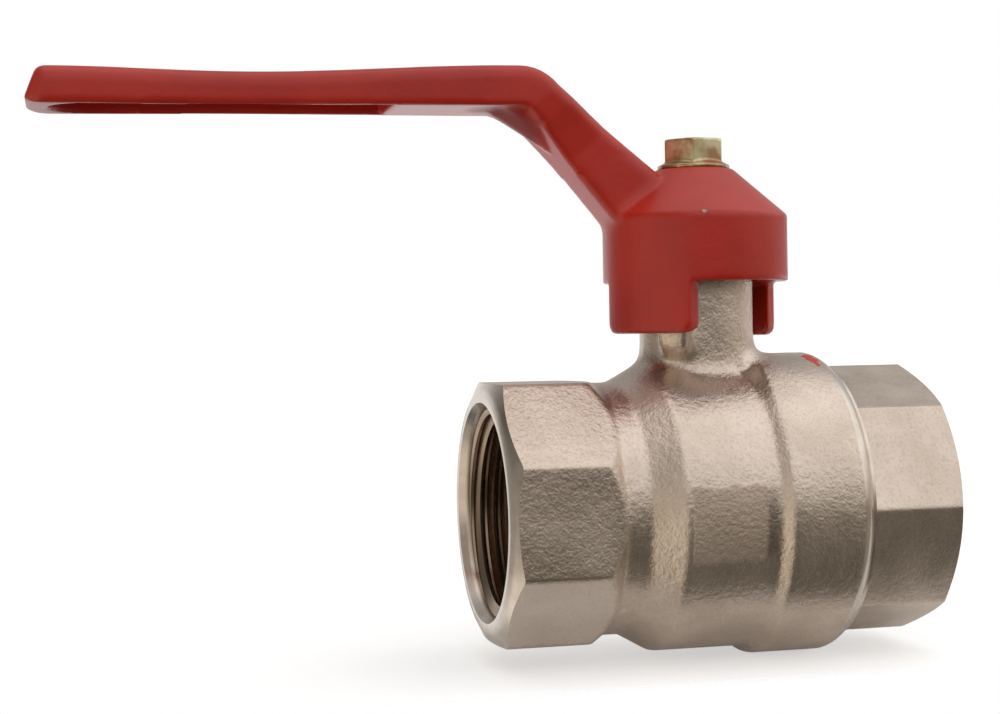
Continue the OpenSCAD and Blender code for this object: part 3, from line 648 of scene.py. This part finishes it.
class Bench:
    """Hand tools that every sub-assembly shares."""

    @staticmethod
    def clear() -> None:
        """Leave edit mode and deselect everything."""
        if bpy.context.object is not None and bpy.context.object.mode != "OBJECT":
            bpy.ops.object.mode_set(mode="OBJECT")
        bpy.ops.object.select_all(action="DESELECT")

    @staticmethod
    def pick(*objects: Object) -> None:
        """Select these objects alone, with the first one active."""
        Bench.clear()
        for thing in objects:
            thing.select_set(True)
        bpy.context.view_layer.objects.active = objects[0]

    @staticmethod
    def edit_all() -> None:
        """Enter edit mode on the active object, with everything selected."""
        bpy.ops.object.mode_set(mode="EDIT")
        bpy.ops.mesh.select_all(action="SELECT")

    @staticmethod
    def leave_outward() -> None:
        """Turn the edited faces outward and leave edit mode."""
        bpy.ops.mesh.select_all(action="SELECT")
        bpy.ops.mesh.normals_make_consistent(inside=False)
        bpy.ops.object.mode_set(mode="OBJECT")

    @staticmethod
    def copy_of(node: str, name: str) -> Object:
        """Copy a CAD node's mesh into a new closed piece.

        Args:
            node: The CAD node.
            name: The new piece's name.

        Returns:
            The new object, with its loose triangles merged.
        """
        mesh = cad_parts[node].data.copy()
        mesh.materials.clear()
        piece = bpy.data.objects.new(name, mesh)
        bpy.context.collection.objects.link(piece)
        Bench.pick(piece)
        bpy.ops.mesh.customdata_custom_splitnormals_clear()
        Bench.edit_all()
        bpy.ops.mesh.remove_doubles(threshold=COPY_WELD * MM)
        bpy.ops.object.mode_set(mode="OBJECT")
        return piece

    @staticmethod
    def wire(name: str, outline: Outline, axis: Axis, ring: bool) -> Object:
        """Draw an outline as a chain of edges in the plane of an axis.

        Args:
            name: The new object's name.
            outline: Points as distance along the axis and out from it, in millimetres.
            axis: The axis that the outline lies beside.
            ring: Whether the chain is closed.

        Returns:
            The wire.
        """
        Bench.clear()
        bpy.ops.mesh.primitive_plane_add(size=MM, location=(0, 0, 0))
        drawn = bpy.context.active_object
        drawn.name = name
        points = [axis.point(*p) for p in outline]
        bpy.ops.object.mode_set(mode="EDIT")
        bpy.ops.mesh.merge(type="CENTER")
        bpy.ops.transform.translate(value=points[0])
        for before, after in zip(points, points[1:]):
            bpy.ops.mesh.extrude_region_move(TRANSFORM_OT_translate={"value": after - before})
        bpy.ops.mesh.select_all(action="SELECT")
        if ring:
            bpy.ops.mesh.edge_face_add()
            bpy.ops.mesh.delete(type="ONLY_FACE")
        bpy.ops.object.mode_set(mode="OBJECT")
        return drawn

    @staticmethod
    def turned(name: str, outline: Outline, axis: Axis, ring: bool = False, steps: int = 144) -> Object:
        """Turn an outline into a closed solid, as on a lathe.

        Args:
            name: The new object's name.
            outline: Points as distance along the axis and out from it, in millimetres.
            axis: The axis of the lathe.
            ring: Whether the outline closes on itself away from the axis.
            steps: Facets round the axis.

        Returns:
            The solid.
        """
        solid = Bench.wire(name, outline, axis, ring)
        Bench.edit_all()
        bpy.ops.mesh.spin(steps=steps, angle=2 * math.pi, center=(0, 0, 0), axis=axis.value)
        bpy.ops.mesh.select_all(action="SELECT")
        bpy.ops.mesh.remove_doubles(threshold=LATHE_WELD * MM)
        Bench.leave_outward()
        return solid

    @staticmethod
    def apply(piece: Object, kind: str, **settings: Any) -> None:
        """Add one modifier with its settings and apply it."""
        Bench.pick(piece)
        modifier = piece.modifiers.new(kind.lower(), kind)
        for name, value in settings.items():
            setattr(modifier, name, value)
        bpy.ops.object.modifier_apply(modifier=modifier.name)

    @staticmethod
    def combine(piece: Object, tool: Object, operation: str, keep: bool = False) -> None:
        """Combine a piece with a tool.

        Args:
            piece: The piece that changes.
            tool: The other solid.
            operation: The Boolean operation.
            keep: Whether the tool is used again, and so not thrown away.
        """
        Bench.apply(piece, "BOOLEAN", operation=operation, object=tool, solver="MANIFOLD",
                    material_mode="TRANSFER")
        if not keep:
            Bench.discard(tool)

    @staticmethod
    def discard(spare: Object) -> None:
        """Remove an object and its mesh."""
        mesh = spare.data
        bpy.data.objects.remove(spare)
        bpy.data.meshes.remove(mesh)

    @staticmethod
    def join(piece: Object, *others: Object) -> None:
        """Join other objects into a piece."""
        Bench.pick(piece, *others)
        bpy.ops.object.join()

    @staticmethod
    def soften(piece: Object, voxel: float, passes: int, shrink: float = 0.0) -> None:
        """Remake a solid as one even skin with rounded edges.

        Args:
            piece: The solid, which may be several closed shells.
            voxel: The skin's mesh size in millimetres.
            passes: Smoothing passes.
            shrink: How far the skin is drawn in, in millimetres.
        """
        Bench.apply(piece, "REMESH", mode="VOXEL", voxel_size=voxel * MM, adaptivity=0.0)
        Bench.apply(piece, "SMOOTH", factor=0.5, iterations=passes)
        if shrink:
            Bench.apply(piece, "DISPLACE", strength=-shrink * MM, mid_level=0.0, direction="NORMAL")

    @staticmethod
    def relax(piece: Object, chosen: Chooser, repeat: int) -> None:
        """Smooth a chosen part of a skin, which gives it fillets.

        Args:
            piece: The skin.
            chosen: Takes the points in millimetres and says which ones move.
            repeat: Smoothing passes.
        """
        Bench.pick(piece)
        mesh = piece.data
        points = np.empty(len(mesh.vertices) * 3)
        mesh.vertices.foreach_get("co", points)
        picks = chosen(points.reshape(-1, 3) / MM)
        bpy.ops.object.mode_set(mode="EDIT")
        bpy.ops.mesh.select_mode(type="VERT")
        bpy.ops.mesh.select_all(action="DESELECT")
        bpy.ops.object.mode_set(mode="OBJECT")
        mesh.vertices.foreach_set("select", picks)
        bpy.ops.object.mode_set(mode="EDIT")
        bpy.ops.mesh.vertices_smooth(factor=0.5, repeat=repeat)
        bpy.ops.object.mode_set(mode="OBJECT")

    @staticmethod
    def smooth(piece: Object) -> None:
        """Shade a piece smooth, with its sharp edges kept."""
        Bench.pick(piece)
        bpy.ops.object.shade_smooth_by_angle(angle=SMOOTH_ANGLE)
        Bench.clear()

    @staticmethod
    def dress(piece: Object, finish: Finish) -> None:
        """Give a whole piece one finish."""
        piece.data.materials.clear()
        piece.data.materials.append(finish.material())

    @staticmethod
    def mount(piece: Object, body: Body, slot: Slot, *nodes: str) -> None:
        """Let a piece ride on a body, and stand for CAD nodes where it replaces some."""
        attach(piece, body.value)
        if nodes:
            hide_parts(*nodes)
        mesh = piece.data
        log.info("%s: %d points, %d faces", piece.name, len(mesh.vertices), len(mesh.polygons))


@dataclass
class Forging:
    """A nickel-plated forging: blasted outside, turned inside and at its ends."""

    node: str
    name: str
    blasted: Finish
    turned: Finish = TurnedNickel()
    voxel: float = 0.44
    passes: int = 3
    shrink: float = 0.06
    across_flats: float = 41.4
    stock_out: float = 2.0

    def stock(self) -> list[Object]:
        """Return the solids that stop up the bores and leave stock where the lathe cuts."""
        raise NotImplementedError

    def fillets(self, skin: Object) -> None:
        """Round the skin's inner corners where the forging has fillets."""

    def wrench_stock(self, from_x: float, to_x: float, corner_up: bool) -> Object:
        """Return a length of the octagon's bar that runs past the turned face.

        Args:
            from_x: Its inner end in millimetres.
            to_x: Its outer end in millimetres.
            corner_up: Whether a corner of the octagon points up.

        Returns:
            The bar.
        """
        Bench.clear()
        half_facet = math.pi / 8
        radius = self.across_flats / 2 / math.cos(half_facet)
        bpy.ops.mesh.primitive_cylinder_add(vertices=8, radius=radius * MM, depth=abs(to_x - from_x) * MM)
        bar = bpy.context.active_object
        spin = Matrix.Rotation(0 if corner_up else half_facet, 4, "Z")
        turn = Matrix.Rotation(math.pi / 2, 4, "Y") @ spin
        bar.matrix_world = Matrix.Translation(((from_x + to_x) / 2 * MM, 0, 0)) @ turn
        bpy.ops.object.transform_apply(location=True, rotation=True, scale=True)
        return bar

    def build(self) -> Object:
        """Build, dress and mount the forging.

        Returns:
            The finished piece.
        """
        core = Bench.copy_of(self.node, self.name + "_core")
        skin = Bench.copy_of(self.node, self.name)
        Bench.join(skin, *self.stock())
        Bench.soften(skin, self.voxel, self.passes, self.shrink)
        self.fillets(skin)
        Bench.dress(skin, self.blasted)
        Bench.dress(core, self.turned)
        self.machine(skin, core)
        Bench.smooth(skin)
        Bench.mount(skin, Body.VALVE, Slot.NICKEL, self.node)
        return skin

    def machine(self, skin: Object, core: Object) -> None:
        """Cut the lathe's work into the skin and throw the core away."""
        Bench.combine(skin, core, "INTERSECT")


@dataclass(frozen=True)
class FootZone:
    """A ring about the neck's foot that is smoothed, in millimetres, and how often."""

    inner: float
    reach: float
    top: float
    repeat: int


@dataclass
class BodyForging(Forging):
    """The valve's body with the inlet octagon, barrel, collar and neck."""

    node: str = "valve_body"
    name: str = "body_forging"
    blasted: Finish = BlastedNickel(name="blasted_nickel_body", marked=True)
    inlet_face: float = INLET_FACE
    octagon_end: float = -21.5
    collar_end: float = 20.8
    collar_radius: float = 24.7
    collar_stock: float = 6.0
    turned_from: float = 18.2
    neck_top: float = 41.5
    neck_radius: float = 9.4
    neck_stock: float = 8.0
    inset: float = 1.0
    foot_bottom: float = 15.0
    foot_zones: tuple[FootZone, ...] = (
        FootZone(0.0, 17.5, 29.0, 6),
        FootZone(0.0, 16.0, 28.0, 10),
        FootZone(0.0, 14.5, 27.0, 14),
        FootZone(9.0, 14.0, 36.0, 40),
    )
    step_from: float = 4.0
    step_below: float = 22.5
    wide: float = 27.0
    chamfer_end: float = -34.6
    chamber_envelope: float = 19.7
    joint_start: float = 4.0
    joint_envelope: float = 21.6

    def stock(self) -> list[Object]:
        """Return stock for the inlet's face, the collar's end and the neck's bore."""
        start = self.turned_from - self.collar_stock
        end = self.collar_end + self.stock_out
        collar = [
            (start, 0.0), (start, self.collar_radius - self.inset), (self.turned_from, self.collar_radius),
            (end, self.collar_radius), (end, 0.0),
        ]
        bottom = self.neck_top - self.neck_stock
        inside = self.neck_radius - self.inset
        neck = [(bottom, 0.0), (bottom, inside), (self.neck_top, inside), (self.neck_top, 0.0)]
        return [
            self.wrench_stock(self.inlet_face - self.stock_out, self.octagon_end, False),
            Bench.turned("collar_stock", collar, Axis.PIPE),
            Bench.turned("neck_stock", neck, Axis.STEM),
        ]

    def fillets(self, skin: Object) -> None:
        """Round the foot of the neck and of its stop bosses."""
        for zone in self.foot_zones:
            def foot(p: np.ndarray) -> np.ndarray:
                """Say which points lie about the neck's foot."""
                out = np.hypot(p[:, 0], p[:, 1])
                ring = (out > zone.inner) & (out < zone.reach)
                step = (p[:, 0] > self.step_from) & (p[:, 2] < self.step_below)
                return ring & (p[:, 2] > self.foot_bottom) & (p[:, 2] < zone.top) & ~step

            Bench.relax(skin, foot, zone.repeat)

    def machine(self, skin: Object, core: Object) -> None:
        """Bore the skin and face its ends, so that the forging's fillets stay."""
        start = self.inlet_face - 2 * self.stock_out
        end = self.collar_end + 2 * self.stock_out
        pipe = [
            (start, 0.0), (start, self.wide),
            (self.chamfer_end, self.wide), (self.chamfer_end, self.chamber_envelope),
            (self.joint_start, self.chamber_envelope), (self.joint_start, self.joint_envelope),
            (self.turned_from, self.joint_envelope), (self.turned_from, self.wide),
            (end, self.wide), (end, 0.0),
        ]
        top = self.neck_top + self.stock_out
        inside = self.neck_radius - self.inset
        stem = [(self.foot_bottom, 0.0), (self.foot_bottom, inside), (top, inside), (top, 0.0)]
        for name, outline, axis in (("pipe_cutter", pipe, Axis.PIPE), ("stem_cutter", stem, Axis.STEM)):
            cutter = Bench.turned(name, outline, axis)
            Bench.dress(cutter, self.turned)
            Bench.combine(cutter, core, "DIFFERENCE", keep=True)
            Bench.combine(skin, cutter, "DIFFERENCE")
        Bench.discard(core)


@dataclass
class AdapterForging(Forging):
    """The screwed-in outlet end with its own octagon."""

    node: str = "end_adapter"
    name: str = "adapter_forging"
    blasted: Finish = BlastedNickel(
        name="blasted_nickel_adapter", grain=Pattern(0.5, 1.5), grain_depth=0.035,
    )
    outlet_face: float = OUTLET_FACE
    octagon_start: float = 24.0
    stop_start: float = 8.9
    stop_radius: float = 18.0

    def stock(self) -> list[Object]:
        """Return stock for the outlet's face and a stopper for the nose."""
        stopper = [
            (self.stop_start, 0.0), (self.stop_start, self.stop_radius),
            (self.octagon_start, self.stop_radius), (self.octagon_start, 0.0),
        ]
        return [
            self.wrench_stock(self.octagon_start, self.outlet_face + self.stock_out, True),
            Bench.turned("nose_stopper", stopper, Axis.PIPE),
        ]


@dataclass
class PortThread:
    """The turns of a parallel pipe thread in one port."""

    name: str
    face: float
    bottom: float
    # The thread's uncoated brass is darkened as well: partly its own colour, partly painted shade inside
    # the port.
    finish: Finish = TurnedNickel(name="turned_nickel_thread", bare_and_shaded=(0.44, 0.335, 0.255))
    pitch: float = 2.309
    major: float = 16.625
    minor: float = 15.15
    crest: float = 0.38
    sink: float = 0.12
    lead_in: float = 1.75
    lead_slope: float = 0.6
    first_crest: float = 3.4
    crest_turn: float = 0.75
    run_out: float = 0.3
    trim_margin: float = 1.0
    flank: float = math.radians(27.5)
    steps: int = 96

    def build(self) -> Object:
        """Build, dress and mount the thread.

        Returns:
            The finished ridge.
        """
        outward = 1.0 if self.face > self.bottom else -1.0
        turns = math.ceil(abs(self.face - self.bottom) / self.pitch) + 1
        crest_x = self.face - outward * self.first_crest
        low_x = min(self.face, self.bottom) - self.pitch
        start = low_x + (crest_x - self.crest_turn * self.pitch - low_x) % self.pitch
        half = self.crest / 2
        sunk = self.major + self.sink
        base = half + (sunk - self.minor) * math.tan(self.flank)
        outline = [
            (start - base, sunk), (start - half, self.minor),
            (start + half, self.minor), (start + base, sunk),
        ]
        ridge = Bench.wire(self.name, outline, Axis.PIPE, True)
        Bench.apply(ridge, "SCREW", axis="X", angle=2 * math.pi, screw_offset=self.pitch * MM,
                    iterations=turns, steps=self.steps, render_steps=self.steps,
                    use_smooth_shade=True, use_normal_calculate=True)
        Bench.edit_all()
        bpy.ops.mesh.fill_holes(sides=0)
        Bench.leave_outward()
        inner = self.minor - self.trim_margin
        outer = sunk + self.trim_margin
        mouth = self.face - outward * self.lead_in
        slope = outward * self.lead_slope
        deep = self.bottom + outward * self.run_out
        trim = [
            (deep, inner), (deep, outer),
            (mouth + slope * (outer - self.major), outer), (mouth - slope * (self.major - inner), inner),
        ]
        Bench.combine(ridge, Bench.turned(self.name + "_trim", trim, Axis.PIPE, True), "INTERSECT")
        Bench.dress(ridge, self.finish)
        Bench.smooth(ridge)
        Bench.mount(ridge, Body.VALVE, Slot.NICKEL)
        return ridge


@dataclass
class LeverCasting:
    """The die-cast cranked lever with its hub, lugs and pocketed grip."""

    node: str = "lever"
    name: str = "lever_casting"
    finish: Finish = RedPaint()
    voxel: float = 0.42
    passes: int = 4
    root: Spot = (-15.0, 50.5)
    root_reach: float = 7.0
    root_half: float = 6.4
    root_passes: int = 12
    hub_inside: float = 13.6
    hub_front_y: float = -5.0
    hub_front_z: Span = (38.5, 46.4)
    hub_passes: int = 10
    corner_outline: Outline = (
        (-33.1, 63.9), (-32.6, 64.7), (-29.4, 65.0), (-25.9, 61.6), (-26.7, 60.9),
    )
    corner_half: float = 5.8
    bend: Spot = (-30.0, 63.0)
    bend_reach: float = 3.4
    bend_half: float = 7.2
    bend_passes: int = 14

    def corner(self) -> Object:
        """Return the metal that fills the bend's inner corner behind the gusset."""
        block = Bench.wire("bend_corner", self.corner_outline, Axis.PIPE, True)
        Bench.edit_all()
        bpy.ops.mesh.edge_face_add()
        bpy.ops.transform.translate(value=(0, -self.corner_half * MM, 0))
        through = (0, 2 * self.corner_half * MM, 0)
        bpy.ops.mesh.extrude_region_move(TRANSFORM_OT_translate={"value": through})
        bpy.ops.mesh.select_all(action="SELECT")
        bpy.ops.mesh.fill_holes(sides=0)
        Bench.leave_outward()
        return block

    def arm_root(self, p: np.ndarray) -> np.ndarray:
        """Say which points lie where the arm runs into the hub."""
        near = np.hypot(p[:, 0] - self.root[0], p[:, 2] - self.root[1]) < self.root_reach
        return near & (np.abs(p[:, 1]) < self.root_half)

    def hub_front(self, p: np.ndarray) -> np.ndarray:
        """Say which points lie on the hub's round front, below its shoulder."""
        side = (p[:, 1] < self.hub_front_y) & (np.hypot(p[:, 0], p[:, 1]) > self.hub_inside)
        return side & (p[:, 2] > self.hub_front_z[0]) & (p[:, 2] < self.hub_front_z[1])

    def bend_corner(self, p: np.ndarray) -> np.ndarray:
        """Say which points lie in the bend's inner corner."""
        near = np.hypot(p[:, 0] - self.bend[0], p[:, 2] - self.bend[1]) < self.bend_reach
        return near & (np.abs(p[:, 1]) < self.bend_half)

    def build(self) -> Object:
        """Build, dress and mount the lever.

        Returns:
            The finished casting.
        """
        casting = Bench.copy_of(self.node, self.name)
        Bench.join(casting, self.corner())
        Bench.soften(casting, self.voxel, self.passes)
        Bench.relax(casting, self.arm_root, self.root_passes)
        Bench.relax(casting, self.hub_front, self.hub_passes)
        Bench.relax(casting, self.bend_corner, self.bend_passes)
        Bench.dress(casting, self.finish)
        Bench.smooth(casting)
        Bench.mount(casting, Body.HANDLE, Slot.PAINT, self.node)
        return casting


@dataclass
class FlangeNut:
    """The hexagon flange nut that holds the lever on the stem."""

    node: str = "lever_nut"
    name: str = "flange_nut"
    finish: Finish = YellowZinc()
    voxel: float = 0.16
    passes: int = 3

    def build(self) -> Object:
        """Build, dress and mount the nut.

        Returns:
            The finished nut.
        """
        nut = Bench.copy_of(self.node, self.name)
        Bench.soften(nut, self.voxel, self.passes)
        Bench.dress(nut, self.finish)
        Bench.smooth(nut)
        Bench.mount(nut, Body.HANDLE, Slot.ZINC, self.node)
        return nut


@dataclass
class InnerParts:
    """The pieces inside the valve, which keep their CAD shapes."""

    finishes: tuple[tuple[Finish, tuple[str, ...]], ...] = (
        (ChromePlate(), ("ball",)),
        (WaxyPtfe(), ("inlet_seat", "outlet_seat", "body_seal_ring", "thrust_washer")),
        (WaxyPtfe(), ("lower_packing_ring", "middle_packing_ring", "upper_packing_ring")),
        (SmoothRubber(), ("lower_stem_o_ring", "upper_stem_o_ring")),
        (TurnedBrass(), ("stem", "gland_nut")),
    )

    def dress(self) -> None:
        """Give each node its finish."""
        for finish, nodes in self.finishes:
            for node in nodes:
                Bench.dress(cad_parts[node], finish)
                log.info("%s: %s", node, finish.name)


@dataclass(frozen=True)
class SoftLight:
    """Strengths of the studio's light by direction, and its warm tint."""

    overhead: float = 1.19
    front_high: float = 0.97
    back_high: float = 0.41
    right_high: float = 1.15
    right_back_high: float = 0.60
    left_high: float = 0.34
    left_back_high: float = 0.11
    front_low: float = 0.10
    back_low: float = 0.75
    right_low: float = 0.29
    left_low: float = 0.87
    left_back_low: float = 0.32
    left_back_deep: float = 1.0
    warm: Colour = (1.0, 0.91, 0.78)


@dataclass
class Studio:
    """Camera, tabletop and soft light."""

    sky: SoftLight = SoftLight()
    eye: Point = (-100.48, -276.07, 28.83)
    yaw: float = 0.2389
    pitch: float = -0.0140
    roll: float = -0.0172
    lens: float = 63.87
    sensor: float = 36.0
    clip_start: float = 5.0
    table_height: float = -24.72
    table_front: float = -27.0
    table_reach: float = 2500.0

    def camera(self) -> None:
        """Place the camera at the photograph's angle."""
        Bench.clear()
        bpy.ops.object.camera_add()
        camera = bpy.context.active_object
        camera.name = "camera"
        forward = Vector((
            math.sin(self.yaw) * math.cos(self.pitch),
            math.cos(self.yaw) * math.cos(self.pitch),
            math.sin(self.pitch),
        ))
        level = Vector((math.cos(self.yaw), -math.sin(self.yaw), 0.0))
        rise = level.cross(forward)
        right = level * math.cos(self.roll) + rise * math.sin(self.roll)
        up = rise * math.cos(self.roll) - level * math.sin(self.roll)
        turn = Matrix((right, up, -forward)).transposed().to_4x4()
        camera.matrix_world = Matrix.Translation(Vector(self.eye) * MM) @ turn
        camera.data.lens = self.lens
        camera.data.sensor_fit = "HORIZONTAL"
        camera.data.sensor_width = self.sensor
        camera.data.clip_start = self.clip_start * MM
        bpy.context.scene.camera = camera

    def table(self) -> None:
        """Lay the pale tabletop under the valve, from just before it to far behind."""
        Bench.clear()
        bpy.ops.mesh.primitive_plane_add(size=2 * self.table_reach * MM)
        table = bpy.context.active_object
        table.name = "tabletop"
        bpy.ops.object.mode_set(mode="EDIT")
        shift = (0, (self.table_reach + self.table_front) * MM, self.table_height * MM)
        bpy.ops.transform.translate(value=shift)
        bpy.ops.object.mode_set(mode="OBJECT")
        Bench.dress(table, PaleTable())

    def light(self) -> None:
        """Light the valve by a soft studio that is bright above and dark below the camera."""
        world = bpy.data.worlds.new("studio")
        bpy.context.scene.world = world
        world.use_nodes = True
        board = NodeBoard(world.node_tree)
        x, y, z = board.parts(board.node("ShaderNodeTexCoord", output="Generated"))
        left = (0 - x).spread(0.25, 0.68)
        right = x.spread(0.35, 0.85)
        back = y.spread(0.1, 0.6)
        behind = y.spread(0.0, 0.35)
        before = (0 - y).spread(0.25, 0.75)
        level = z.spread(-0.50, -0.28)
        deep = (0 - z).spread(0.20, 0.45)
        sky = self.sky
        low = board.between(back * level, sky.front_low, sky.back_low)
        low = board.between(right, low, sky.right_low)
        left_back = board.between(deep, sky.left_back_low, sky.left_back_deep)
        low = board.between(left, low, board.between(behind, sky.left_low, left_back))
        high = board.between(back, board.between(before, sky.overhead, sky.front_high), sky.back_high)
        high = board.between(right, high, board.between(back, sky.right_high, sky.right_back_high))
        high = board.between(left, high, board.between(behind, sky.left_high, sky.left_back_high))
        rise = z.spread(-0.10, 0.38)
        tint = board.blend(rise.most(back) * (1 - left * 0.7), sky.warm, WHITE)
        strength = board.between(rise, low, high)
        soft = board.node("ShaderNodeBackground", None, {"Color": tint, "Strength": strength})
        white = board.node("ShaderNodeBackground", None, {"Color": opaque(WHITE), "Strength": 1.0})
        camera, mirrored = board.rays()
        backdrop = back * level * (1 - z.spread(0.06, 0.30)) * (1 - left.most(right))
        seen = camera.most(mirrored * backdrop)
        shader = board.node("ShaderNodeMixShader", None, {0: seen, 1: soft, 2: white})
        board.finish("ShaderNodeOutputWorld", shader)

    def build(self) -> None:
        """Set up the whole studio."""
        self.camera()
        self.table()
        self.light()
        bpy.context.scene.view_settings.view_transform = "Standard"


def main() -> None:
    logging.basicConfig(level=logging.INFO, format="%(name)s: %(message)s")
    Studio().build()
    BodyForging().build()
    AdapterForging().build()
    PortThread("inlet_thread_turns", INLET_FACE, INLET_BOTTOM).build()
    PortThread("outlet_thread_turns", OUTLET_FACE, OUTLET_BOTTOM).build()
    LeverCasting().build()
    FlangeNut().build()
    InnerParts().dress()
    Bench.clear()


if __name__ == "__main__":
    main()
